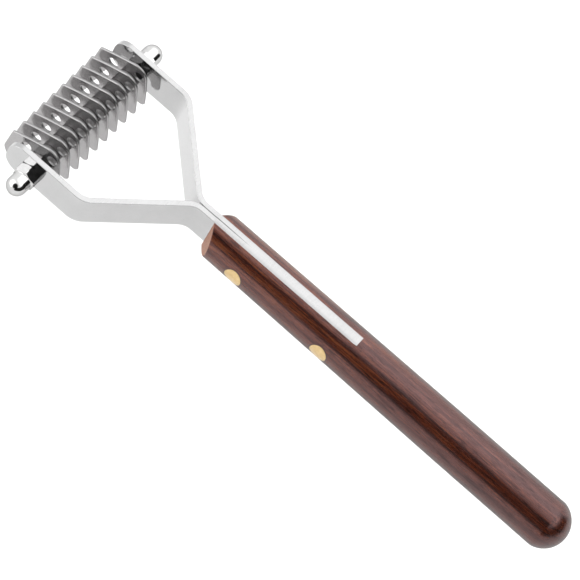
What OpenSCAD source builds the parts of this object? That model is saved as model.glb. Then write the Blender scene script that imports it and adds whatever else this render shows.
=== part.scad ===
// Deshedding tool: a hooked-blade coat rake on a riveted wooden handle.
// +X runs along the blade axle, +Y runs from the handle to the blades, +Z is up.
// The origin is on the handle's axis, in the middle of its straight grip.

/* [Handle] */
// Length of the wooden handle
handle_len = 137.5; // [130:0.5:150]
// Diameter of the handle at its front end
handle_front_d = 15.2; // [14.8:0.1:15.8]
// Diameter of the handle along the straight grip
grip_d = 16.1; // [16:0.1:17]
// Length of the straight grip
grip_len = 38; // [30:1:50]
// How much larger the tail's round is than the grip, measured on the radius
tail_extra = 0.15; // [0.05:0.05:4]
// Angle that the front end slopes back on each side of the fork
front_bevel = 32; // [0:1:40]

/* [Fork] */
// Thickness of each steel strip
strip_t = 1.8; // [1.4:0.1:2]
// Height of the strips' top edge above the handle's axis
strip_top = 7.45; // [7:0.05:7.5]
// Height of the strips' bottom edge below the handle's axis
strip_bottom = 5.1; // [4.5:0.1:6]
// Depth of the slot that holds both strips in the handle
slot_len = 55; // [50:1:65]
// Distance from the handle's front to where the strips part
neck_len = 5.1; // [3:0.1:8]
// Inside radius of the strips' bends
bend_r = 5.5; // [4:0.5:7]
// Angle at which each strip turns outwards
spread = 45; // [40:1:50]
// Distance from the handle's front to the blade axle
axle_reach = 49.8; // [48:0.1:54]
// Length of each strip past the axle
arm_nose = 9.2; // [8:0.1:10]
// Radius of the corners at the end of each strip
arm_corner_r = 4.7; // [3:0.1:6]

/* [Rivets] */
// Diameter of the brass rivets
rivet_d = 6.2; // [4:0.1:7]
// Distance from the handle's front to the front rivet
rivet_1 = 14.2; // [12:0.1:18]
// Distance from the handle's front to the rear rivet
rivet_2 = 47.6; // [40:0.1:50]

/* [Blades] */
// Number of blades
blade_count = 10; // [4:1:12]
// Thickness of a blade
blade_t = 0.8; // [0.6:0.1:1]
// Distance from one blade to the next
blade_pitch = 4.54; // [4.4:0.02:4.8]
// Diameter of the spare holes in each blade
spare_hole_d = 3.5; // [3:0.1:3.6]
// Diameter of the spacers
spacer_d = 6.6; // [6:0.1:7]

/* [Axle and nuts] */
// Diameter of the axle
axle_d = 3.9; // [3.8:0.02:3.92]
// Diameter of the holes that the axle passes through
bore_d = 4; // [4:0.02:4.04]
// Width of the nuts across their flats
nut_af = 7; // [7:0.1:7.2]
// Thickness of the nuts inside the fork
lock_nut_t = 3.2; // [2.8:0.1:3.4]
// Length of the six-sided part of a cap nut
cap_hex_len = 3.5; // [3:0.1:4]
// Whole length of a cap nut
cap_len = 9.2; // [8:0.1:10]
// Diameter of a cap nut's dome
dome_d = 6.5; // [6:0.1:6.8]
// Angle that the right cap nut has stopped at, from a corner straight up
right_nut_turn = 42; // [0:1:60]

/* [Hidden] */
$fn = 96;
wood = [0.36, 0.19, 0.13];
steel = [0.82, 0.82, 0.84];
bright = [0.9, 0.9, 0.92];
dark = [0.55, 0.55, 0.57];
brass = [0.84, 0.7, 0.42];

grip_r = grip_d / 2;
front_r = handle_front_d / 2;
bore_r = bore_d / 2;
tail_r = grip_r + tail_extra;
tail_depth = tail_r - sqrt(pow(tail_r, 2) - pow(grip_r, 2));
tail_y = -grip_len / 2 - tail_depth;
front_y = tail_y + handle_len;
axle_y = front_y + axle_reach;

// Room that a cutting shape reaches past what it cuts
over = 30;

blade_x0 = -blade_pitch * (blade_count - 1) / 2;
pack_half = -blade_x0 + blade_t / 2;
arm_inner_x = pack_half + lock_nut_t;
arm_outer_x = arm_inner_x + strip_t;
spacer_len = blade_pitch - blade_t;

// Bends of the left strip in plan, from the handle's front at y = 0: each has
// a centre, and the turn is seen from there. The second bends the other way.
bend_out_r = bend_r + strip_t;
bend_rise = (bend_r + bend_out_r) * (1 - cos(spread));
bend_2_y = neck_len + (bend_r + bend_out_r) * sin(spread) + (arm_inner_x - bend_rise) / tan(spread);
bend_1 = [-bend_out_r, neck_len];
bend_2 = [-arm_inner_x + bend_r, bend_2_y];
strip_end_y = axle_reach + arm_nose;
// Hairline by which a bend's arcs cross its flats, so that each pair meets at one corner
hair = 0.001;

// Axle and cap nut
cap_bore_len = 6.5;
axle_end_gap = 1;
axle_half = arm_outer_x + cap_bore_len - axle_end_gap;
axle_chamfer = 0.5;
nut_chamfer = 0.45;

// Points on an arc, and on a curve pulled towards its middle point
function arc(c, r, from, to, n = 8) =
    [for (i = [0:n]) let (a = from + (to - from) * i / n) [c.x + r * cos(a), c.y + r * sin(a)]];
function curve(p, q, s, n = 6) =
    [for (i = [1:n - 1]) let (t = i / n) p * pow(1 - t, 2) + q * 2 * t * (1 - t) + s * t * t];

// Cylinder from one X to another, on the line at y and z
module x_rod(r, x0, x1, y = 0, z = 0) {
    translate([x0, y, z]) rotate([0, 90, 0]) cylinder(r = r, h = x1 - x0);
}

// A flat shape drawn in Y and Z, with its thickness from x to x + t
module x_plate(x, t) {
    translate([x, 0, 0]) rotate([90, 0, 90]) linear_extrude(height = t) children();
}

// The turned handle before it is slotted, bevelled and drilled: straight along the grip,
// tapered to the front, with a tail rounded to a cap a little flatter than a ball
module handle_blank() {
    rotate([-90, 0, 0]) rotate_extrude() difference() {
        polygon([
            [0, tail_y - 1], [grip_r, tail_y - 1], [grip_r, grip_len / 2],
            [front_r, front_y], [0, front_y]
        ]);
        difference() {
            translate([-1, tail_y - 2]) square([grip_r + 2, tail_r + 2]);
            translate([0, tail_y + tail_r]) circle(r = tail_r);
        }
    }
}

module rivet_holes() {
    for (back = [rivet_1, rivet_2])
        x_rod(rivet_d / 2, -over, over, front_y - back);
}

module handle() {
    color(wood) difference() {
        handle_blank();
        translate([-strip_t, front_y - slot_len, -strip_bottom])
            cube([2 * strip_t, slot_len + over, over]);
        for (side = [-1, 1])
            translate([side * strip_t, front_y, -over])
                rotate([0, 0, -side * front_bevel])
                    translate([side > 0 ? 0 : -over, 0, 0])
                        cube([over, over, 2 * over]);
        rivet_holes();
    }
}

// The slice of the plan that a bend takes up, seen from its centre
module turn(from) {
    reach = 3 * bend_out_r;
    polygon([for (p = [[0, 0], [from, 1], [from + spread, 1]]) reach * p.y * [cos(p.x), sin(p.x)]]);
}

// Plan of the left strip ahead of the handle, from the handle's front at y = 0:
// a strip with sharp bends, then each bend filled on its inside and rounded on its outside
module strip_plan() {
    back_up = bend_r * tan(spread / 2);
    back_out = bend_out_r * tan(spread / 2);
    bends = [[bend_1, 0], [bend_2, 180]];
    difference() {
        union() {
            polygon([
                [0, 0], [0, neck_len + back_out], [-arm_inner_x, bend_2_y - back_up],
                [-arm_inner_x, strip_end_y], [-arm_outer_x, strip_end_y],
                [-arm_outer_x, bend_2_y - back_out], [-strip_t, neck_len + back_up], [-strip_t, 0]
            ]);
            for (b = bends)
                translate(b[0]) difference() {
                    intersection() {
                        turn(b[1]);
                        circle(r = bend_r + strip_t / 2);
                    }
                    circle(r = bend_r + hair);
                }
        }
        for (b = bends)
            translate(b[0]) difference() {
                turn(b[1]);
                circle(r = bend_out_r + hair);
            }
    }
}

// Side view of a strip, square at the handle and rounded at the nose
module strip_side() {
    height = strip_top + strip_bottom;
    translate([0, -strip_bottom]) square([strip_end_y - arm_corner_r, height]);
    translate([0, arm_corner_r - strip_bottom]) square([strip_end_y, height - 2 * arm_corner_r]);
    for (z = [arm_corner_r - strip_bottom, strip_top - arm_corner_r])
        translate([strip_end_y - arm_corner_r, z]) circle(r = arm_corner_r);
}

// The root fills its half of the slot and is ground flush with the wood
module strip_root() {
    intersection() {
        translate([-strip_t, front_y - slot_len, -strip_bottom])
            cube([strip_t, slot_len, over]);
        handle_blank();
    }
}

module fork_arm() {
    difference() {
        union() {
            strip_root();
            translate([0, front_y, 0]) intersection() {
                translate([0, 0, -strip_bottom])
                    linear_extrude(height = strip_top + strip_bottom) strip_plan();
                x_plate(-arm_outer_x - 1, arm_outer_x + 2) strip_side();
            }
        }
        rivet_holes();
        x_rod(bore_r, -over, 0, axle_y);
    }
}

module left_fork_arm() {
    color(steel) fork_arm();
}

module right_fork_arm() {
    color(steel) mirror([1, 0, 0]) fork_arm();
}

// Solid rivet through wood and strips, with both ends turned flush with the handle
module rivet(back) {
    color(brass) intersection() {
        x_rod(rivet_d / 2, -over, over, front_y - back);
        handle_blank();
    }
}

module axle_rod() {
    color(dark) {
        x_rod(axle_d / 2, -axle_half + axle_chamfer, axle_half - axle_chamfer, axle_y);
        for (side = [-1, 1])
            translate([side * (axle_half - axle_chamfer), axle_y, 0])
                rotate([0, side * 90, 0])
                    cylinder(r1 = axle_d / 2, r2 = axle_d / 2 - axle_chamfer, h = axle_chamfer);
    }
}

// Outline of one blade about its axle hole: x is forwards and y is up.
// It has a crown, a slim rear finger, a cutting arch and a front claw.
crown_top = arc([-1.45, 4.7], 4.2, 68, 163, 12);
finger_corner = arc([-6.65, -4.9], 1.55, 188, 270, 5);
finger_inside = arc([-6, -5.5], 0.95, 270, 360, 4);
arch = [for (a = [165:-15:15]) [1.3 + 6.35 * cos(a), -5.6 + 1.9 * sin(a)]];
claw_tip = arc([9.35, -9.75], 0.85, 160, 300, 6);
claw_heel = [12.6, -5.9];
front_corner = arc([11.15, 2.55], 0.8, 5, 62, 4);

blade_outline = concat(
    crown_top,
    curve(crown_top[12], [-7.3, -0.4], finger_corner[0]),
    finger_corner,
    finger_inside,
    arch,
    [[7.7, -6.2]],
    claw_tip,
    curve(claw_tip[6], [12.9, -7.6], claw_heel),
    [claw_heel],
    front_corner,
    curve(front_corner[4], [6.2, 6.1], crown_top[0])
);

// Centres of the two spare holes, forwards and up from the axle
spare_holes = [[6.1, 1.6], [-2.9, 4.9]];

module blade(i) {
    color(bright)
        translate([0, axle_y, 0])
            x_plate(blade_x0 + (i - 1) * blade_pitch - blade_t / 2, blade_t)
                difference() {
                    polygon(blade_outline);
                    circle(r = bore_r);
                    for (p = spare_holes)
                        translate(p) circle(d = spare_hole_d);
                }
}

module spacer(i) {
    x0 = blade_x0 + (i - 1) * blade_pitch + blade_t / 2;
    color(dark) difference() {
        x_rod(spacer_d / 2, x0, x0 + spacer_len, axle_y);
        x_rod(bore_r, x0 - 1, x0 + spacer_len + 1, axle_y);
    }
}

// Six-sided blank from 0 to len along X, its corners eased at each end that asks for it
module hex_blank(len, ease_near = true, ease_far = true) {
    corner_r = nut_af / 2 / cos(30);
    face_r = corner_r - nut_chamfer;
    intersection() {
        rotate([0, 90, 0]) cylinder(r = corner_r, h = len, $fn = 6);
        union() {
            x_rod(corner_r + 1, nut_chamfer / 2, len - nut_chamfer / 2);
            for (end = [[0, 1, ease_near], [len, -1, ease_far]])
                translate([end[0], 0, 0]) rotate([0, end[1] * 90, 0])
                    cylinder(r1 = end[2] ? face_r : corner_r + 1, r2 = corner_r + 0.05,
                             h = nut_chamfer / 2 + 0.001);
        }
    }
}

module lock_nut(x) {
    color(bright) translate([x, axle_y, 0]) difference() {
        hex_blank(lock_nut_t);
        x_rod(bore_r, -1, lock_nut_t + 1);
    }
}

// Cap nut with its face at x = 0 and its dome towards +X
module cap_nut() {
    dome_r = dome_d / 2;
    color(bright) difference() {
        union() {
            hex_blank(cap_hex_len);
            x_rod(dome_r, cap_hex_len / 2, cap_len - dome_r);
            translate([cap_len - dome_r, 0, 0]) sphere(r = dome_r);
        }
        x_rod(bore_r, -1, cap_bore_len);
    }
}

module left_lock_nut() {
    lock_nut(-arm_inner_x);
}

module right_lock_nut() {
    lock_nut(pack_half);
}

module left_cap_nut() {
    translate([-arm_outer_x, axle_y, 0]) mirror([1, 0, 0]) cap_nut();
}

module right_cap_nut() {
    translate([arm_outer_x, axle_y, 0]) rotate([right_nut_turn, 0, 0]) cap_nut();
}

handle();
left_fork_arm();
right_fork_arm();
rivet(rivet_1);  // front_rivet
rivet(rivet_2);  // rear_rivet
axle_rod();
for (i = [1:blade_count])
    blade(i);
for (i = [1:blade_count - 1])
    spacer(i);
left_lock_nut();
right_lock_nut();
left_cap_nut();
right_cap_nut();
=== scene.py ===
import math

import bpy
import bmesh
from mathutils import Matrix, Vector
from mathutils.geometry import delaunay_2d_cdt


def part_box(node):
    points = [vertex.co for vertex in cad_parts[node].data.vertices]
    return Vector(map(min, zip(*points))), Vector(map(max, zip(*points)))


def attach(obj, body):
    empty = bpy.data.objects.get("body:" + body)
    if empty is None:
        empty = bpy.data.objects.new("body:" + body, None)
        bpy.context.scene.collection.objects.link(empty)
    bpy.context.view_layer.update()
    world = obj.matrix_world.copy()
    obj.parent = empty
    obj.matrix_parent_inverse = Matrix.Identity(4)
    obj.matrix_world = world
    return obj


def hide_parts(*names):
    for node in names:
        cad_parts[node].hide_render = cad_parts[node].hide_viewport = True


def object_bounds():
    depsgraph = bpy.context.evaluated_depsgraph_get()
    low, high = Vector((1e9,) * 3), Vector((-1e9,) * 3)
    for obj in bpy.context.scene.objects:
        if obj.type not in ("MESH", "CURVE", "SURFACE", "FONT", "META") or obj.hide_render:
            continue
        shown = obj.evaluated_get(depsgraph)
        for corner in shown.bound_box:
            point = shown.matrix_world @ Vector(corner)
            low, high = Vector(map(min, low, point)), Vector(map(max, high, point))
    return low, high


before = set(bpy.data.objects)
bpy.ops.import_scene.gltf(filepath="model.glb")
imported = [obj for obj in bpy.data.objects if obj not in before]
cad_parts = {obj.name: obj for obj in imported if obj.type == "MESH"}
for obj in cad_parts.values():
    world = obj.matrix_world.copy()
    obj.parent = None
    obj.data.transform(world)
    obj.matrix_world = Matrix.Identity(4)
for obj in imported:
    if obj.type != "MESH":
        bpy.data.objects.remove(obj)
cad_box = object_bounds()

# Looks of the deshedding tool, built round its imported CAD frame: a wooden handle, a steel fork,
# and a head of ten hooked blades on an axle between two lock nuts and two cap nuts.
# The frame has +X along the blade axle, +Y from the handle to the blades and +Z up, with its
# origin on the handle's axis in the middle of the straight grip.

MM = 0.001
cos, sin, tan, sqrt, radians, pi = math.cos, math.sin, math.tan, math.sqrt, math.radians, math.pi


# ---------------------------------------------------------------- sizes, all in mm
def mm_box(node):
    lo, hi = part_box(node)
    return lo / MM, hi / MM


handle_lo, handle_hi = mm_box("handle")
arm_lo, arm_hi = mm_box("left_fork_arm")
nut_lo, nut_hi = mm_box("left_lock_nut")
blade_lo, blade_hi = mm_box("blade_1")
spacer_lo, spacer_hi = mm_box("spacer_1")

GRIP_R = handle_hi.x          # the straight grip, GRIP_HALF to each side of the origin
GRIP_HALF = 19.0
FRONT_R = 7.6                 # the handle narrows evenly to this at its front
TAIL_R = 8.2                  # ball that rounds the tail
TAIL_Y = handle_lo.y
FRONT_Y = handle_hi.y
BEVEL = tan(radians(32))      # how far the front bevels fall back for each mm to the side
AXLE_Y = (nut_lo.y + nut_hi.y) / 2

STRIP_T = nut_lo.x - arm_lo.x  # thickness of each strip that the fork is bent from
STRIP_TOP = 7.45               # height of its upper edge ahead of the handle
STRIP_BOTTOM = -arm_lo.z
SLOT_LEN = FRONT_Y - arm_lo.y
NECK = 5.1                     # from the handle's front to the start of the first bend
BEND_R = 5.5
SPREAD = radians(45)
NOSE_R = 4.7                   # the round at the arm's end
ARM_IN = -nut_lo.x
ARM_OUT = -arm_lo.x
ARM_END = arm_hi.y

RIVET_R = 3.1
RIVETS = {n: sum(b.y for b in mm_box(n)) / 2 for n in ("front_rivet", "rear_rivet")}

BLADE_T = blade_hi.x - blade_lo.x
BLADES = sorted((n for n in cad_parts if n.startswith("blade_")), key=lambda n: int(n[6:]))
SPACERS = sorted((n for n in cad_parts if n.startswith("spacer_")), key=lambda n: int(n[7:]))
SPACER_R = (spacer_hi.z - spacer_lo.z) / 2
BORE_R = 2.0
NUT_R = (nut_hi.y - nut_lo.y) / 2   # half the distance across the flats


def handle_r(y):
    """Radius of the turned handle at y, ahead of its tail."""
    if y <= GRIP_HALF:
        return GRIP_R
    return GRIP_R + (FRONT_R - GRIP_R) * (y - GRIP_HALF) / (FRONT_Y - GRIP_HALF)


def smooth(t):
    t = min(max(t, 0.0), 1.0)
    return t * t * (3 - 2 * t)


def steps(a, b, n):
    return [a + (b - a) * i / n for i in range(n + 1)]


# ---------------------------------------------------------------- mesh helpers
class Piece:
    """A mesh gathered from grids and faces in mm, welded where they meet."""

    def __init__(self):
        self.bm = bmesh.new()

    def vert(self, p):
        return self.bm.verts.new(Vector(p) * MM)

    def grid(self, rows, closed=False):
        vs = [[self.vert(p) for p in row] for row in rows]
        for a, b in zip(vs, vs[1:]):
            n = len(a)
            for i in range(n if closed else n - 1):
                j = (i + 1) % n
                quad = [a[i], a[j], b[j], b[i]]
                if len({tuple(round(c, 9) for c in v.co) for v in quad}) > 2:
                    self.bm.faces.new(quad).smooth = True

    def face(self, pts, flat=False):
        self.bm.faces.new([self.vert(p) for p in pts]).smooth = not flat

    def cap(self, ring, centre):
        for i, p in enumerate(ring):
            self.face([p, ring[(i + 1) % len(ring)], centre])

    def make(self, name, materials, sharp=30):
        bmesh.ops.remove_doubles(self.bm, verts=self.bm.verts, dist=4e-7)
        bmesh.ops.dissolve_degenerate(self.bm, edges=self.bm.edges, dist=1e-7)
        bmesh.ops.recalc_face_normals(self.bm, faces=self.bm.faces)
        for e in self.bm.edges:
            if len(e.link_faces) == 2:
                a, b = e.link_faces
                limit = radians(sharp if a.smooth else 3)
                e.smooth = a.smooth == b.smooth and e.calc_face_angle(0.0) < limit
        for f in self.bm.faces:
            f.smooth = True
        mesh = bpy.data.meshes.new(name)
        self.bm.to_mesh(mesh)
        self.bm.free()
        for m in materials:
            mesh.materials.append(m)
        obj = bpy.data.objects.new(name, mesh)
        bpy.context.scene.collection.objects.link(obj)
        keep_flats_flat(obj)
        return obj


def keep_flats_flat(obj):
    """Large faces keep their own normals, and the small ones beside them bend to suit."""
    even = obj.modifiers.new("flat faces stay flat", "WEIGHTED_NORMAL")
    even.weight, even.keep_sharp = 100, True


def settle(obj, body, node):
    """The piece rides on a body and hides the CAD node it stands for."""
    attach(obj, body)
    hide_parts(node)


# ---------------------------------------------------------------- material helpers
class Nodes:
    """A node tree written as calls, each giving the output socket it makes."""

    def __init__(self, tree):
        self.tree = tree
        tree.nodes.clear()

    def add(self, kind, ins=(), out=0, **props):
        n = self.tree.nodes.new(kind)
        for k, v in props.items():
            setattr(n, k, v)
        for k, v in dict(ins).items():
            if isinstance(v, bpy.types.NodeSocket):
                self.tree.links.new(v, n.inputs[k])
            else:
                n.inputs[k].default_value = v
        return n.outputs[out]

    def math(self, op, a, b=0.0, c=0.0, clamp=False):
        return self.add("ShaderNodeMath", {0: a, 1: b, 2: c}, operation=op, use_clamp=clamp)

    def vec(self, op, a, b=(0, 0, 0), out=0):
        return self.add("ShaderNodeVectorMath", {0: a, 1: b}, out, operation=op)

    def scale(self, v, s):
        return self.vec("MULTIPLY", v, s)

    def split(self, v):
        n = self.tree.nodes.new("ShaderNodeSeparateXYZ")
        self.tree.links.new(v, n.inputs[0])
        return n.outputs

    def join(self, x=0.0, y=0.0, z=0.0):
        return self.add("ShaderNodeCombineXYZ", {0: x, 1: y, 2: z})

    def noise(self, v, scale=1.0, detail=2.0, rough=0.5, out="Fac"):
        n = self.tree.nodes.new("ShaderNodeTexNoise")
        self.tree.links.new(v, n.inputs["Vector"])
        n.inputs["Scale"].default_value = scale
        n.inputs["Detail"].default_value = detail
        n.inputs["Roughness"].default_value = rough
        return n.outputs[out]

    def span(self, v, a, b, lo=0.0, hi=1.0, kind="SMOOTHSTEP"):
        return self.add("ShaderNodeMapRange", {0: v, 1: a, 2: b, 3: lo, 4: hi}, interpolation_type=kind)

    def mix(self, f, a, b):
        n = self.tree.nodes.new("ShaderNodeMix")
        n.data_type = "RGBA"
        for k, v in ((0, f), (6, a), (7, b)):
            if isinstance(v, bpy.types.NodeSocket):
                self.tree.links.new(v, n.inputs[k])
            else:
                n.inputs[k].default_value = v if k == 0 else (*v, 1.0)
        return n.outputs[2]

    def ramp(self, f, stops):
        n = self.tree.nodes.new("ShaderNodeValToRGB")
        self.tree.links.new(f, n.inputs[0])
        e = n.color_ramp.elements
        while len(e) < len(stops):
            e.new(0.5)
        for k, (at, c) in enumerate(stops):
            e[k].position = at
            e[k].color = (*c, 1.0)
        return n.outputs[0]

    def bump(self, height, strength, distance):
        return self.add("ShaderNodeBump", {"Strength": strength, "Distance": distance, "Height": height})


def material(name, build):
    m = bpy.data.materials.new(name)
    m.use_nodes = True
    t = Nodes(m.node_tree)
    shader = t.tree.nodes.new("ShaderNodeBsdfPrincipled")
    out = t.tree.nodes.new("ShaderNodeOutputMaterial")
    t.tree.links.new(shader.outputs[0], out.inputs[0])
    for k, v in build(t).items():
        if isinstance(v, bpy.types.NodeSocket):
            t.tree.links.new(v, shader.inputs[k])
        else:
            shader.inputs[k].default_value = v
    return m


def object_mm(t):
    """Position on the object in mm, in the CAD's frame."""
    coords = t.add("ShaderNodeTexCoord", out="Object")
    return t.scale(coords, (1000, 1000, 1000))


def up_facing(t):
    """1 on faces that look up or down, 0 on upright ones."""
    normal = t.add("ShaderNodeTexCoord", out="Normal")
    return t.span(t.math("ABSOLUTE", t.split(normal)[2]), 0.55, 0.8)


# ---------------------------------------------------------------- materials
def rosewood(t):
    p = object_mm(t)
    warp = t.vec("SUBTRACT", t.noise(t.scale(p, (0.16, 0.018, 0.16)), 1, 3, 0.55, "Color"), (0.5, 0.5, 0.5))
    q = t.vec("ADD", p, t.scale(warp, (3.6, 0.0, 3.6)))
    x, y, z = t.split(q)
    # growth rings round a pith that lies beside the handle and leans along it
    px = t.math("ADD", x, t.math("MULTIPLY_ADD", y, 0.035, 17.0))
    pz = t.math("ADD", z, t.math("MULTIPLY_ADD", y, -0.028, 12.0))
    r = t.vec("LENGTH", t.join(px, 0.0, pz), out=1)
    ring = t.math("FRACT", t.math("MULTIPLY", r, 0.34))
    late = t.math("MULTIPLY", t.span(ring, 0.6, 0.9), t.span(ring, 0.92, 1.0, 1.0, 0.0))
    broad = t.noise(t.scale(p, (0.34, 0.02, 0.34)), 1, 2, 0.5)
    fibre = t.noise(t.scale(p, (2.4, 0.07, 2.4)), 1, 4, 0.62)
    fine = t.noise(t.scale(p, (6.0, 0.5, 6.0)), 1, 3, 0.7)
    pores = t.math("MAXIMUM", t.span(t.noise(t.scale(p, (5.4, 0.5, 5.4)), 1, 2, 0.5), 0.58, 0.68),
                   t.span(t.noise(t.scale(q, (2.4, 0.17, 2.4)), 1, 2, 0.5), 0.57, 0.66))
    tone = t.math("MULTIPLY_ADD", late, 0.26, t.math("MULTIPLY", fibre, 1.0))
    tone = t.math("ADD", tone, t.math("MULTIPLY", fine, 0.8))
    tone = t.math("ADD", tone, t.math("MULTIPLY_ADD", broad, 0.36, -0.62))
    # the wood is paler towards the fork
    tone = t.math("ADD", tone, t.span(t.split(p)[1], 30, 95, 0.02, -0.13), clamp=True)
    colour = t.ramp(tone, [
        (0.18, (0.13, 0.038, 0.0125)),
        (0.4, (0.056, 0.0112, 0.0034)),
        (0.58, (0.029, 0.0052, 0.0017)),
        (0.8, (0.009, 0.002, 0.001)),
    ])
    colour = t.mix(t.math("MULTIPLY", pores, 0.75), colour, (0.005, 0.0015, 0.001))
    # end grain at the bevelled front is paler and drier
    normal = t.split(t.add("ShaderNodeTexCoord", out="Normal"))
    end = t.math("MULTIPLY", t.span(normal[1], 0.6, 0.75), t.span(t.split(p)[1], FRONT_Y - 8, FRONT_Y - 6))
    dots = t.noise(t.scale(p, (3.2, 0.3, 3.2)), 1, 3, 0.6)
    colour = t.mix(end, colour, (0.35, 0.19, 0.135))
    colour = t.mix(t.math("MULTIPLY", end, t.span(dots, 0.5, 0.7)), colour, (0.12, 0.045, 0.03))
    # painted shade: a dark ring round each rivet, where the gap between rivet and wood is shaded
    seam = 0.0
    pp = t.split(p)
    for at in RIVETS.values():
        d = t.vec("LENGTH", t.join(0.0, t.math("SUBTRACT", pp[1], at), pp[2]), out=1)
        gap_shade_here = t.math("MULTIPLY", t.span(d, RIVET_R - 0.2, RIVET_R + 0.02),
                           t.span(d, RIVET_R + 0.15, RIVET_R + 0.5, 1.0, 0.0))
        seam = t.math("MAXIMUM", seam, gap_shade_here)
    colour = t.mix(t.math("MULTIPLY", seam, 0.8), colour, (0.012, 0.006, 0.004))
    rough = t.math("ADD", t.span(fine, 0.3, 0.7, 0.2, 0.3), t.math("MULTIPLY", end, 0.3))
    height = t.math("SUBTRACT", t.math("MULTIPLY", fine, 0.4), pores)
    # the varnish loses some of its shine towards the outline
    slant = t.add("ShaderNodeLayerWeight", {"Blend": 0.5}, "Facing")
    return {
        "Base Color": colour,
        "Roughness": rough,
        "IOR": t.span(slant, 0.45, 0.9, 1.76, 1.12),
        "Specular IOR Level": t.math("MULTIPLY_ADD", pores, -0.12, t.span(tone, 0.2, 0.75, 0.56, 0.45)),
        # the pink tint of the varnish's reflections is painted: it stands for a tint in the light, not the
        # varnish's own colour
        "Specular Tint": (1.0, 0.655, 0.655, 1.0),
        "Normal": t.bump(height, 0.18, 0.00004),
    }


def fork_steel(t):
    p = object_mm(t)
    x, y, _ = t.split(p)
    up = up_facing(t)
    lengthwise = t.noise(t.scale(p, (1.2, 0.9, 9.0)), 1, 3, 0.6)
    cross = t.noise(t.scale(p, (0.3, 5.0, 0.3)), 1, 3, 0.7)
    cloud = t.noise(p, 0.12, 3, 0.55)
    grain = t.math("ADD", t.math("MULTIPLY", up, cross),
                   t.math("MULTIPLY", t.math("SUBTRACT", 1.0, up), lengthwise))
    tone = t.math("ADD", t.math("MULTIPLY", grain, 0.6), t.math("MULTIPLY", cloud, 0.4))
    side = t.ramp(tone, [
        (0.3, (0.44, 0.44, 0.441)), (0.5, (0.48, 0.48, 0.481)), (0.7, (0.51, 0.51, 0.511))])
    # the tops get a darker colour than the sides: partly their cross-ground finish, partly painted shade
    # that tones down the light they catch from above
    top = t.ramp(tone, [
        (0.3, (0.32, 0.32, 0.321)), (0.5, (0.365, 0.365, 0.366)), (0.7, (0.4, 0.4, 0.401))])
    colour = t.mix(up, side, top)
    # painted shade in the crevice where the two strips part, ahead of the handle
    painted_parting_shade = t.math("MULTIPLY", t.span(t.math("ABSOLUTE", x), 0.06, 0.2, 1.0, 0.0),
                     t.span(y, FRONT_Y - 14, FRONT_Y - 3))
    colour = t.mix(t.math("MULTIPLY", painted_parting_shade, 0.75), colour, (0.05, 0.05, 0.05))
    rough = t.math("ADD", t.span(cloud, 0.3, 0.7, 0.05, 0.1), t.math("MULTIPLY", up, 0.2))
    return {
        "Base Color": colour,
        "Metallic": 1.0,
        "Roughness": rough,
        "Normal": t.bump(grain, 0.1, 0.00003),
    }


def blade_steel(t):
    p = object_mm(t)
    across = t.math("ABSOLUTE", t.split(t.add("ShaderNodeTexCoord", out="Normal"))[0])
    # the rounded rim, where the normal turns away from the face, gets a darker colour: painted shade that
    # tones down the light the rim catches
    rim = t.span(across, 0.45, 0.85, 1.0, 0.0)
    brush = t.noise(t.scale(p, (3.0, 0.5, 9.0)), 1, 3, 0.65)
    cloud = t.noise(p, 0.25, 3, 0.5)
    colour = t.ramp(t.math("ADD", t.math("MULTIPLY", brush, 0.55), t.math("MULTIPLY", cloud, 0.45)), [
        (0.3, (0.32, 0.312, 0.313)), (0.5, (0.365, 0.356, 0.357)), (0.7, (0.41, 0.4, 0.401))])
    return {
        "Base Color": t.mix(rim, colour, (0.25, 0.248, 0.248)),
        "Metallic": 0.88,
        "Roughness": t.math("ADD", t.span(brush, 0.3, 0.7, 0.12, 0.2), t.math("MULTIPLY", rim, 0.2)),
        "Normal": t.bump(brush, 0.08, 0.00002),
    }


def plating(t):
    p = object_mm(t)
    cloud = t.noise(p, 0.8, 3, 0.5)
    return {
        "Base Color": t.ramp(cloud, [(0.3, (0.49, 0.488, 0.486)), (0.7, (0.54, 0.538, 0.536))]),
        "Metallic": 1.0,
        # the darker edge tint is painted shade: it darkens the reflections at the outline to stand for
        # darker surroundings
        "Specular Tint": (0.45, 0.45, 0.45, 1.0),
        "Roughness": t.span(cloud, 0.3, 0.7, 0.03, 0.08),
        "Normal": t.bump(t.noise(p, 1.6, 2, 0.5), 0.05, 0.00004),
    }


def spacer_steel(t):
    p = object_mm(t)
    turned = t.noise(t.scale(p, (14.0, 0.4, 0.4)), 1, 2, 0.6)
    return {
        "Base Color": t.ramp(turned, [(0.3, (0.16, 0.155, 0.156)), (0.7, (0.24, 0.233, 0.234))]),
        "Metallic": 0.4,
        "Roughness": t.span(turned, 0.3, 0.7, 0.3, 0.42),
        "Normal": t.bump(turned, 0.1, 0.00002),
    }


def axle_steel(t):
    p = object_mm(t)
    x, y, z = t.split(p)
    pitch = 0.7
    turn = t.math("MULTIPLY", t.math("ARCTAN2", z, t.math("SUBTRACT", y, AXLE_Y)), 1 / (2 * pi))
    thread = t.math("PINGPONG", t.math("ADD", t.math("MULTIPLY", x, 1 / pitch), turn), 0.5)
    return {
        # the thread's grooves are painted darker than its crests: painted shade in the grooves
        "Base Color": t.ramp(thread, [(0.0, (0.2, 0.2, 0.2)), (0.5, (0.6, 0.6, 0.6))]),
        "Metallic": 1.0,
        "Roughness": t.span(thread, 0.0, 0.5, 0.35, 0.2),
        "Normal": t.bump(thread, 0.8, 0.0003),
    }


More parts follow.
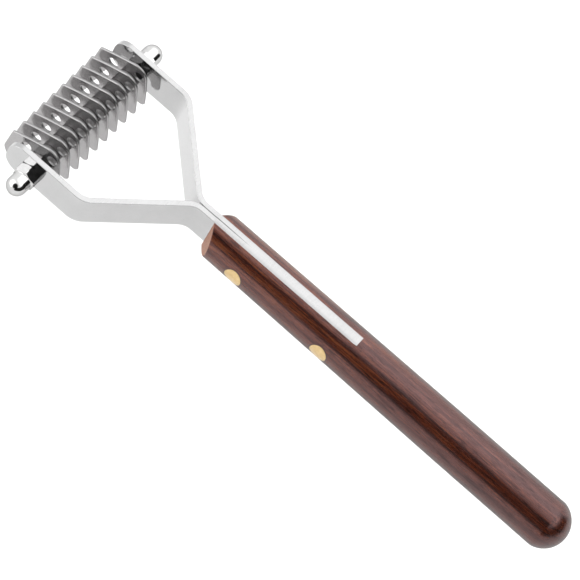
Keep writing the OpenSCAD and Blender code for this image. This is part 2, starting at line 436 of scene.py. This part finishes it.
def brass(t):
    p = object_mm(t)
    _, y, z = t.split(p)
    near = None
    for at in RIVETS.values():
        d = t.vec("LENGTH", t.join(0.0, t.math("SUBTRACT", y, at), z), out=1)
        near = d if near is None else t.math("MINIMUM", near, d)
    rings = t.noise(t.join(0.0, t.math("MULTIPLY", near, 6.0), 0.0), 1, 2, 0.6)
    cloud = t.noise(p, 0.9, 3, 0.5)
    colour = t.ramp(t.math("ADD", t.math("MULTIPLY", rings, 0.5), t.math("MULTIPLY", cloud, 0.5)), [
        (0.3, (0.5, 0.34, 0.14)), (0.5, (0.6, 0.43, 0.2)), (0.7, (0.68, 0.52, 0.28))])
    return {
        "Base Color": colour,
        "Metallic": 1.0,
        "Roughness": t.span(rings, 0.3, 0.7, 0.3, 0.42),
        "Coat Weight": 0.6,
        "Coat Roughness": 0.2,
        "Normal": t.bump(rings, 0.15, 0.00003),
    }


WOOD = material("rosewood", rosewood)
FORK = material("fork_steel", fork_steel)
BLADE = material("blade_steel", blade_steel)
PLATED = material("nut_plating", plating)
SPACER = material("spacer_steel", spacer_steel)
AXLE = material("axle_steel", axle_steel)
BRASS = material("rivet_brass", brass)


# ---------------------------------------------------------------- handle
def make_handle():
    """Turned rod with a slot for the strips, two front bevels and a rounded tail."""
    piece = Piece()
    slot_y = FRONT_Y - SLOT_LEN
    lean_y = FRONT_Y - 8                  # ahead of this the rows lean into the bevels
    wide, narrow, low = 22, 6, 8          # steps down each side, across the slot, and under it
    seam = math.acos(-STRIP_BOTTOM / FRONT_R)

    def edge(y):
        return math.asin(STRIP_T / handle_r(y))

    def angles(y):
        """Right side from the slot's edge down, then under, then up the left side."""
        s = edge(y)
        right = steps(s, seam, wide)[:-1] + steps(seam, pi - s, low)[:-1]
        under = steps(pi - s, pi + s, narrow)[:-1]
        left = [2 * pi - a for a in reversed(steps(s, seam, wide)[1:] + steps(seam, pi - s, low)[1:])]
        return right + under + left + [2 * pi - s]

    def on(y, a, r=None):
        r = handle_r(y) if r is None else r
        return Vector((r * sin(a), y, r * cos(a)))

    def end_y(x):
        return FRONT_Y - max(0.0, abs(x) - STRIP_T) * BEVEL

    back = steps(-GRIP_HALF, slot_y, 30)
    fore = steps(slot_y, lean_y, 16)
    for rows in (back, fore):
        piece.grid([[on(y, a) for a in angles(y)] for y in rows])
    # top of the rod behind the slot
    piece.grid([[on(y, a) for a in steps(-edge(y), edge(y), narrow)] for y in back])
    # tail: a cap a little flatter than a ball
    centre_y = TAIL_Y + TAIL_R
    start = math.acos((centre_y + GRIP_HALF) / TAIL_R)
    ring = angles(-GRIP_HALF) + steps(2 * pi - edge(0), 2 * pi + edge(0), narrow)[1:-1]
    cap_rows = [[Vector((TAIL_R * sin(b) * sin(a), centre_y - TAIL_R * cos(b), TAIL_R * sin(b) * cos(a)))
                 for a in ring] for b in steps(start, 0.08, 14)]
    piece.grid(cap_rows, closed=True)
    piece.cap(cap_rows[-1], Vector((0, TAIL_Y, 0)))
    # front stretch, whose rows lean into the two bevels, with a softened rim
    rim = 0.22
    fans = angles(FRONT_Y)
    rows = [[] for _ in range(8)]
    for a in fans:
        x = FRONT_R * sin(a)
        stop = end_y(x)
        sharp = on(stop, a, handle_r(stop))
        soft = min(rim, 0.4 * abs(abs(x) - STRIP_T))
        beside = abs(x) > STRIP_T - 1e-6
        inward = Vector((-1 if x > 0 else 1, BEVEL, 0)).normalized() if beside else Vector((0, 0, 1))
        first, last = sharp + Vector((0, -soft, 0)), sharp + inward * soft
        mid = (first + last) / 2 * 0.6 + sharp * 0.4
        for k in range(5):
            rows[k].append(on(lean_y + (first.y - lean_y) * k / 4, a))
        rows[5].append((first * 0.3 + mid * 0.7) * 0.85 + sharp * 0.15)
        rows[6].append((last * 0.3 + mid * 0.7) * 0.85 + sharp * 0.15)
        rows[7].append(last)
    # meet the row behind exactly: its angles follow the slot's edge there
    behind = angles(lean_y)
    for k in range(4):
        rows[k] = [on(p.y, a + (b - a) * k / 4) for p, a, b in zip(rows[k], behind, fans)]
    piece.grid(rows)
    # bevels and the flat under the slot
    inner = rows[-1]
    count = wide + low
    for side, rim_points in ((1, inner[:count + 1]), (-1, inner[-count - 1:])):
        piece.grid([[p.lerp(Vector((side * STRIP_T, FRONT_Y, p.z)), f) for f in steps(0, 1, 5)]
                    for p in rim_points])
    under = inner[count:count + narrow + 1]
    z_side = [FRONT_R * cos(a) for a in fans[wide:count + 1]]
    span = z_side[-1] - z_side[0]
    shares = [(z - z_side[0]) / span for z in z_side]
    piece.grid([[Vector((p.x, FRONT_Y, -STRIP_BOTTOM + (p.z + STRIP_BOTTOM) * f)) for p in under]
                for f in shares])
    # walls, floor and end of the slot
    top_f = FRONT_R * cos(edge(FRONT_Y))
    drop = [(top_f - FRONT_R * cos(a)) / (top_f + STRIP_BOTTOM) for a in fans[:wide + 1]]

    def z_at(x, y, f):
        top = sqrt(handle_r(y) ** 2 - x * x)
        return top + (-STRIP_BOTTOM - top) * f

    ys = fore + steps(lean_y, FRONT_Y, 4)[1:]
    for side in (1, -1):
        piece.grid([[Vector((side * STRIP_T, y, z_at(STRIP_T, y, f))) for f in drop] for y in ys])
    across = [STRIP_T * sin(a) / sin(edge(slot_y)) for a in steps(-edge(slot_y), edge(slot_y), narrow)]
    piece.grid([[Vector((x, y, -STRIP_BOTTOM)) for x in across] for y in ys])
    piece.grid([[Vector((x, slot_y, z_at(x, slot_y, f))) for x in across] for f in drop])
    return piece.make("wooden_handle", [WOOD], 24)


settle(make_handle(), "handle_and_fork", "handle")


# ---------------------------------------------------------------- fork arms
def strip_path():
    """Stations along the left strip: (point on its inner face, point on its outer face)."""
    out = BEND_R + STRIP_T
    rise = (BEND_R + out) * (1 - cos(SPREAD))
    bend_2_y = FRONT_Y + NECK + (BEND_R + out) * sin(SPREAD) + (ARM_IN - rise) / tan(SPREAD)
    c1 = Vector((-out, FRONT_Y + NECK, 0))
    c2 = Vector((-ARM_IN + BEND_R, bend_2_y, 0))
    stations = []

    def straight(y, x_in=0.0):
        stations.append((Vector((x_in, y, 0)), Vector((x_in - STRIP_T, y, 0))))

    for y in steps(FRONT_Y - SLOT_LEN, FRONT_Y - 18, 12) + steps(FRONT_Y - 16, FRONT_Y, 10) + \
            steps(FRONT_Y + 0.4, FRONT_Y + NECK - 0.3, 6):
        straight(y)
    for k in range(19):
        a = SPREAD * k / 18
        d = Vector((cos(a), sin(a), 0))
        stations.append((c1 + d * out, c1 + d * BEND_R))
    first = stations[-1]
    bend = []
    for k in range(19):
        a = pi + SPREAD * (1 - k / 18)
        d = Vector((cos(a), sin(a), 0))
        bend.append((c2 + d * BEND_R, c2 + d * out))
    for f in steps(0, 1, 8)[1:-1]:
        stations.append((first[0].lerp(bend[0][0], f), first[1].lerp(bend[0][1], f)))
    stations += bend
    for y in steps(bend_2_y, ARM_END - NOSE_R, 5)[1:]:
        straight(y, -ARM_IN)
    for k in range(1, 13):
        straight(ARM_END - NOSE_R * (1 - sin(pi / 2 * k / 12)), -ARM_IN)
    return stations


def make_arm(side):
    piece = Piece()
    soft = 0.13
    rows = []
    stations = strip_path()
    for p_in, p_out in stations:
        y = p_in.y
        to_end = ARM_END - y if p_in.x < -ARM_IN + 0.01 else 99.0
        trim = 0.0
        if to_end < NOSE_R:
            trim = NOSE_R - sqrt(max(NOSE_R ** 2 - (NOSE_R - to_end) ** 2, 0.0))
        c = soft * (0.06 + 0.94 * smooth((y - (FRONT_Y - 13)) / 11))
        flush = 1 - smooth((y - FRONT_Y + 0.2) / 1.6)
        across = (p_out - p_in).normalized()
        width = (p_out - p_in).length

        def top_at(s):
            x = (p_in + across * s).x
            flat = STRIP_TOP
            if flush > 0:
                turned = sqrt(handle_r(min(y, FRONT_Y)) ** 2 - min(abs(x), STRIP_T) ** 2)
                flat = flat + (turned - flat) * flush
            return flat - trim

        bottom = -STRIP_BOTTOM + trim
        outer_c = c * (1 - flush * 0.92)
        ring = []

        def corner(s0, z0, ds, dz, c):
            """Rounded corner from the upright face to the edge face."""
            for a in (0, 30, 60, 90):
                ring.append((s0 + ds * c * (1 - cos(radians(a))), z0 + dz * c * (1 - sin(radians(a)))))

        z_in, z_out = top_at(0), top_at(width)
        corner(0, z_in, 1, -1, c)
        for f in (0.25, 0.5, 0.75):
            ring.append((width * f, top_at(width * f)))
        n = len(ring)
        corner(width, z_out, -1, -1, outer_c)
        ring[n:] = reversed(ring[n:])
        for f in (0.2, 0.5, 0.8):
            ring.append((width, z_out + (bottom - z_out) * f))
        corner(width, bottom, -1, 1, c)
        n = len(ring)
        ring.append((width * 0.5, bottom))
        m = len(ring)
        corner(0, bottom, 1, 1, c)
        ring[m:] = reversed(ring[m:])
        for f in (0.8, 0.5, 0.2):
            ring.append((0, z_in + (bottom - z_in) * f))
        rows.append([Vector((*(p_in + across * s).xy, z)) for s, z in ring])
    if side > 0:
        rows = [[Vector((-p.x, p.y, p.z)) for p in row] for row in rows]
    piece.grid(rows, closed=True)
    for row in (rows[0], rows[-1]):
        piece.cap(row, sum(row, Vector()) / len(row))
    sharp = 32
    obj = piece.make("fork_arm_left" if side < 0 else "fork_arm_right", [FORK], sharp)
    # the hole that the axle passes through
    drill = Piece()
    x0, x1 = side * (ARM_IN - 1), side * (ARM_OUT + 1)
    ring = [(BORE_R * cos(2 * pi * k / 40), BORE_R * sin(2 * pi * k / 40)) for k in range(40)]
    rings = [[Vector((x, AXLE_Y + a, b)) for a, b in ring] for x in (x0, x1)]
    drill.grid(rings, closed=True)
    for r, x in zip(rings, (x0, x1)):
        drill.cap(r, Vector((x, AXLE_Y, 0)))
    cutter = drill.make("drill", [FORK])
    obj.modifiers.clear()
    cut = obj.modifiers.new("bore", "BOOLEAN")
    cut.object, cut.solver = cutter, "EXACT"
    graph = bpy.context.evaluated_depsgraph_get()
    mesh = bpy.data.meshes.new_from_object(obj.evaluated_get(graph))
    obj.modifiers.clear()
    obj.data = mesh
    mesh.set_sharp_from_angle(angle=radians(sharp))
    keep_flats_flat(obj)
    bpy.data.objects.remove(cutter)
    return obj


for side, node in ((-1, "left_fork_arm"), (1, "right_fork_arm")):
    settle(make_arm(side), "handle_and_fork", node)


# ---------------------------------------------------------------- rivets
def make_rivet(name, at):
    """Solid pin whose two ends follow the handle's round, with a softened rim a hair proud."""
    piece = Piece()
    turns = [2 * pi * k / 48 for k in range(48)]
    proud, soft = 0.03, 0.18

    def end(side):
        rings = []
        for f in (1.0, 0.985, 0.96, 0.93, 0.85, 0.7, 0.5, 0.3, 0.12):
            rho = RIVET_R * f
            lift = proud - soft * max(0.0, (f - 0.93) / 0.07) ** 2
            row = []
            for a in turns:
                y, z = at + rho * cos(a), rho * sin(a)
                row.append(Vector((side * (sqrt(handle_r(y) ** 2 - z * z) + lift), y, z)))
            rings.append(row)
        return rings

    right, left = end(1), end(-1)
    piece.grid(list(reversed(right)) + left, closed=True)
    piece.cap(right[-1], Vector((handle_r(at) + proud, at, 0)))
    piece.cap(left[-1], Vector((-handle_r(at) - proud, at, 0)))
    return piece.make(name, [BRASS], 40)


for node, at in RIVETS.items():
    settle(make_rivet("brass_" + node, at), "handle_and_fork", node)


# ---------------------------------------------------------------- blades
def arc(c, r, a, b, n):
    return [Vector((c[0] + r * cos(radians(t)), c[1] + r * sin(radians(t)))) for t in steps(a, b, n)]


def curve(p, q, s, n):
    q = Vector(q)
    return [p * (1 - t) ** 2 + q * 2 * t * (1 - t) + s * t * t for t in steps(0, 1, n)[1:-1]]


def blade_outline():
    """The blade's rim about its axle hole, forwards and up, and which points are on its cutting edge."""
    crown = arc((-1.45, 4.7), 4.2, 68, 163, 20)
    finger = arc((-6.65, -4.9), 1.55, 188, 270, 8)
    inside = arc((-6, -5.5), 0.95, 270, 360, 6)
    arch = [Vector((1.3 + 6.35 * cos(radians(a)), -5.6 + 1.9 * sin(radians(a))))
            for a in range(168, -18, -6)]
    claw = arc((9.35, -9.75), 0.85, 160, 300, 9)
    heel = Vector((12.6, -5.9))
    corner = arc((11.15, 2.55), 0.8, 5, 62, 5)
    rim = crown + curve(crown[-1], (-7.3, -0.4), finger[0], 8) + finger + inside
    start = len(rim) - 1
    rim += arch + [Vector((7.7, -6.2))]
    stop = len(rim) - 4
    rim += claw + curve(claw[-1], (12.9, -7.6), heel, 6) + [heel] + corner
    rim += curve(corner[-1], (6.2, 6.1), crown[0], 9)
    return rim, start, stop


def inset(loop, widths):
    """Each point of a loop moved to the left of its run by its own width."""
    out = []
    n = len(loop)
    for i, p in enumerate(loop):
        a, b = (p - loop[i - 1]).normalized(), (loop[(i + 1) % n] - p).normalized()
        d = a + b
        d = d.normalized() if d.length > 1e-6 else a
        normal = Vector((-d.y, d.x))
        out.append(p + normal * widths[i] / max(normal.dot(Vector((-a.y, a.x))), 0.5))
    return out


SPARE = [(6.1, 1.6), (-2.9, 4.9)]
RIM, EDGE_START, EDGE_STOP = blade_outline()


def make_blade(name, x_mid):
    piece = Piece()
    half, keen = BLADE_T / 2, 0.07        # half thickness, and at the cutting edge
    n = len(RIM)

    def keenness_at(i):
        """0 away from the cutting edge, 1 along it, easing at both ends."""
        if not EDGE_START <= i <= EDGE_STOP:
            return 0.0
        f = (i - EDGE_START) / (EDGE_STOP - EDGE_START)
        return smooth(min(f, 1 - f) / 0.16)

    keenness = [keenness_at(i) for i in range(n)]
    edge_half = [half + (keen - half) * k for k in keenness]
    soft = [0.24 * (1 - k) + 0.03 * k for k in keenness]
    loops = [RIM] + [inset(RIM, [s * share for s in soft]) for share in (0.12, 0.55, 1.0)]
    drops = [1.0, 0.7, 0.2, 0.0]
    grind = inset(RIM, [max(1.5 * k, 0.02) for k in keenness])
    line = [i for i in range(n) if keenness[i] > 0.01]
    holes = [(Vector(c), 1.75, 0.14) for c in SPARE] + [(Vector((0, 0)), BORE_R, 0.12)]

    def at(p, h, side):
        return Vector((x_mid + side * h, AXLE_Y + p.x, p.y))

    # rim, rounded from one face to the other
    strips = []
    for side in (1, -1):
        rows = []
        for loop, drop in zip(loops, drops):
            rows.append([at(p, edge_half[i] - soft[i] * drop * 0.9, side) for i, p in enumerate(loop)])
        strips.append(rows)
    piece.grid(list(reversed(strips[0])) + strips[1], closed=True)
    # holes, each with an eased mouth
    turns = steps(0, 2 * pi, 36)[:-1]
    for c, r, ease in holes:
        rows = []
        for rr, h in ((r + ease, half), (r + ease * 0.3, half - ease * 0.3), (r, half - ease),
                      (r, ease - half), (r + ease * 0.3, ease * 0.3 - half), (r + ease, -half)):
            rows.append([at(c + Vector((rr * cos(a), rr * sin(a))), h, 1) for a in turns])
        piece.grid(rows, closed=True)
    # the two faces, with the hollow ground back from the cutting edge
    pts, edges, height = [], [], []

    def chain(loop, hs, closed=True):
        k = len(pts)
        pts.extend(loop)
        height.extend(hs)
        m = len(loop)
        edges.extend((k + i, k + (i + 1) % m) for i in range(m if closed else m - 1))

    chain(loops[-1], edge_half)
    chain([grind[i] for i in line], [half] * len(line), closed=False)
    for c, r, ease in holes:
        chain([c + Vector((cos(a), sin(a))) * (r + ease) for a in turns], [half] * len(turns))
    vs, _, tris, origin, _, _ = delaunay_2d_cdt(pts, edges, [], 1, 1e-5)
    tall = [height[o[0]] if o else half for o in origin]
    for tri in tris:
        # triangles with all their corners on one hole's rim would close the hole
        if any(all((vs[i] - c).length < r + ease + 0.001 for i in tri) for c, r, ease in holes):
            continue
        for side in (1, -1):
            piece.face([at(vs[i], tall[i], side) for i in tri], flat=True)
    return piece.make(name, [BLADE], 28)


for k, node in enumerate(BLADES):
    lo, hi = mm_box(node)
    settle(make_blade("hooked_" + node, (lo.x + hi.x) / 2), "blade_head", node)


# ---------------------------------------------------------------- spacers, nuts and axle
def lathe(piece, profile, x0=0.0, way=1, angles=None, closed=False):
    """Turns (x, r) points about the axle's line; either may be a function of the angle."""
    angles = angles or [2 * pi * k / 56 for k in range(56)]
    rows = []
    for x, r in profile:
        row = []
        for a in angles:
            rr = r(a) if callable(r) else r
            xx = x(a) if callable(x) else x
            row.append(Vector((x0 + way * xx, AXLE_Y + rr * cos(a), rr * sin(a))))
        rows.append(row)
    piece.grid(rows + ([rows[0]] if closed else []), closed=True)
    return rows


for node in SPACERS:
    lo, hi = mm_box(node)
    length, e = hi.x - lo.x, 0.2
    near_end = [(0, BORE_R + 0.05), (0, SPACER_R - e), (e * 0.3, SPACER_R - e * 0.3), (e, SPACER_R)]
    far_end = [(length - x, r) for x, r in reversed(near_end)]
    piece = Piece()
    lathe(piece, near_end + [(length / 2, SPACER_R)] + far_end, lo.x, 1, closed=True)
    settle(piece.make("round_" + node, [SPACER], 35), "blade_head", node)


FACE_R = NUT_R * 0.955        # round end face inside the nut's chamfer
HEX = [radians(30 + 60 * k + d) for k in range(6) for d in (1.2, 8, 16, 24, 30, 36, 44, 52, 58.8)]
RIGHT_TURN = radians(42)      # where the right cap nut has stopped


def hexagon(a):
    """Distance from the axis to the nut's side at an angle, with a corner straight up."""
    return NUT_R / cos((a + pi / 6) % (pi / 3) - pi / 6)


def chamfer(a):
    return (hexagon(a) - FACE_R) * tan(radians(30))


def nut_profile(length):
    """Hexagon with a turned chamfer at both ends."""
    return [(0, FACE_R), (chamfer, hexagon), (length / 2, hexagon),
            (lambda a: length - chamfer(a), hexagon), (length, FACE_R)]


for node in ("left_lock_nut", "right_lock_nut"):
    lo, hi = mm_box(node)
    length = hi.x - lo.x
    piece = Piece()
    lathe(piece, [(0.35, BORE_R), (0, BORE_R + 0.35)] + nut_profile(length)
          + [(length, BORE_R + 0.35), (length - 0.35, BORE_R)], lo.x, 1, HEX, closed=True)
    settle(piece.make("hex_" + node, [PLATED], 24), node, node)

for node, way in (("left_cap_nut", -1), ("right_cap_nut", 1)):
    lo, hi = mm_box(node)
    length = hi.x - lo.x
    piece = Piece()
    x0 = lo.x if way > 0 else hi.x
    hex_len, dome_r, foot, deep = 3.5, 3.25, 0.25, 6.5
    profile = [(deep, 0.02), (deep - 0.2, BORE_R), (0.35, BORE_R), (0, BORE_R + 0.35)]
    profile += nut_profile(hex_len)
    profile += [(hex_len, dome_r + foot * 0.3), (hex_len + foot * 0.3, dome_r + 0.03),
                (hex_len + foot, dome_r)]
    profile += [(length - dome_r + dome_r * sin(b), dome_r * cos(b))
                for b in steps(0, pi / 2 * 0.985, 18)]
    rows = lathe(piece, profile, x0, way, HEX)
    piece.cap(rows[-1], Vector((x0 + way * length, AXLE_Y, 0)))
    piece.cap(rows[0], Vector((x0 + way * deep, AXLE_Y, 0)))
    if way > 0:
        spin = Matrix.Rotation(RIGHT_TURN, 3, "X")
        centre = Vector((0, AXLE_Y, 0)) * MM
        bmesh.ops.rotate(piece.bm, verts=piece.bm.verts, cent=centre, matrix=spin)
    settle(piece.make("domed_" + node, [PLATED], 24), node, node)

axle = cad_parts["axle_rod"]
axle.data.materials.clear()
axle.data.materials.append(AXLE)


# ---------------------------------------------------------------- floor, light and camera
floor_mesh = bpy.data.meshes.new("floor")
b = bmesh.new()
bmesh.ops.create_grid(b, x_segments=1, y_segments=1, size=6.0)
b.to_mesh(floor_mesh)
b.free()
floor = bpy.data.objects.new("floor", floor_mesh)
bpy.context.scene.collection.objects.link(floor)
FLOOR_DROP = 0.045            # the tool hangs this far above the floor, so no shadow meets it
floor.location = (0, 0, cad_box[0].z - FLOOR_DROP)


def floor_look(t):
    p = t.add("ShaderNodeTexCoord", out="Object")
    paper = t.noise(p, 900, 2, 0.5)
    return {
        "Base Color": t.ramp(paper, [(0.3, (0.9, 0.9, 0.9)), (0.7, (0.93, 0.93, 0.93))]),
        "Roughness": 0.9,
        "Specular IOR Level": 0.1,
    }


floor_mesh.materials.append(material("pale_floor", floor_look))

world = bpy.data.worlds.new("studio")
bpy.context.scene.world = world
world.use_nodes = True
w = Nodes(world.node_tree)
way = w.add("ShaderNodeTexCoord", out="Generated")


def patch(direction, inner, outer):
    """1 within inner degrees of a direction, 0 past outer degrees."""
    dot = w.vec("DOT_PRODUCT", way, tuple(Vector(direction).normalized()), out=1)
    return w.span(dot, cos(radians(outer)), cos(radians(inner)))


def shade(light, mask, depth):
    return w.math("MULTIPLY", light, w.math("MULTIPLY_ADD", mask, -depth, 1.0))


# a bright tent with three softboxes, to the right, beyond the blades and above the tail
light = 1.5
for direction, inner, outer, gain in (((0.6, 0.07, 0.8), 12, 34, 0.9), ((-0.5, 0.73, 0.45), 14, 42, 1.9),
                                      ((0.3, -0.42, 0.86), 6, 32, 0.9)):
    light = w.math("MULTIPLY_ADD", patch(direction, inner, outer), gain, light)
# the dark opening that the tool is looked at through, and the dark room behind the tail
light = shade(light, patch((-0.72, 0.0, 0.69), 20, 37), 0.985)
low = w.span(w.split(way)[2], 0.57, 0.66, 1.0, 0.0)
light = shade(light, w.math("MULTIPLY", patch((-0.26, -0.966, 0.0), 60, 71), low), 0.98)
tent = w.add("ShaderNodeBackground", {"Color": (1, 1, 1, 1), "Strength": light})
plain = w.add("ShaderNodeBackground", {"Color": (1, 1, 1, 1), "Strength": 1.0})
seen = w.add("ShaderNodeLightPath", out="Is Camera Ray")
both = w.add("ShaderNodeMixShader", {0: seen, 1: tent, 2: plain})
out = world.node_tree.nodes.new("ShaderNodeOutputWorld")
world.node_tree.links.new(both, out.inputs[0])

bpy.context.scene.view_settings.view_transform = "Standard"

# a long lens from the upper left, rolled so that the tool lies on a slant in the frame
camera = bpy.data.cameras.new("camera")
camera.sensor_width = 36
camera.lens = 229.2
eye = bpy.data.objects.new("camera", camera)
bpy.context.scene.collection.objects.link(eye)
aim = Vector((0.002161, 0.082868, 0.0))
azimuth, elevation, roll = radians(-81.476), radians(59.774), radians(33.820)
distance = 1.08544
back_dir = Vector((sin(azimuth) * cos(elevation), -cos(azimuth) * cos(elevation), sin(elevation)))
eye.location = aim + back_dir * distance
turn = (-back_dir).to_track_quat("-Z", "Y").to_matrix().to_4x4() @ Matrix.Rotation(roll, 4, "Z")
eye.rotation_mode = "QUATERNION"
eye.rotation_quaternion = turn.to_quaternion()
camera.clip_start, camera.clip_end = 0.05, 20
bpy.context.scene.camera = eye
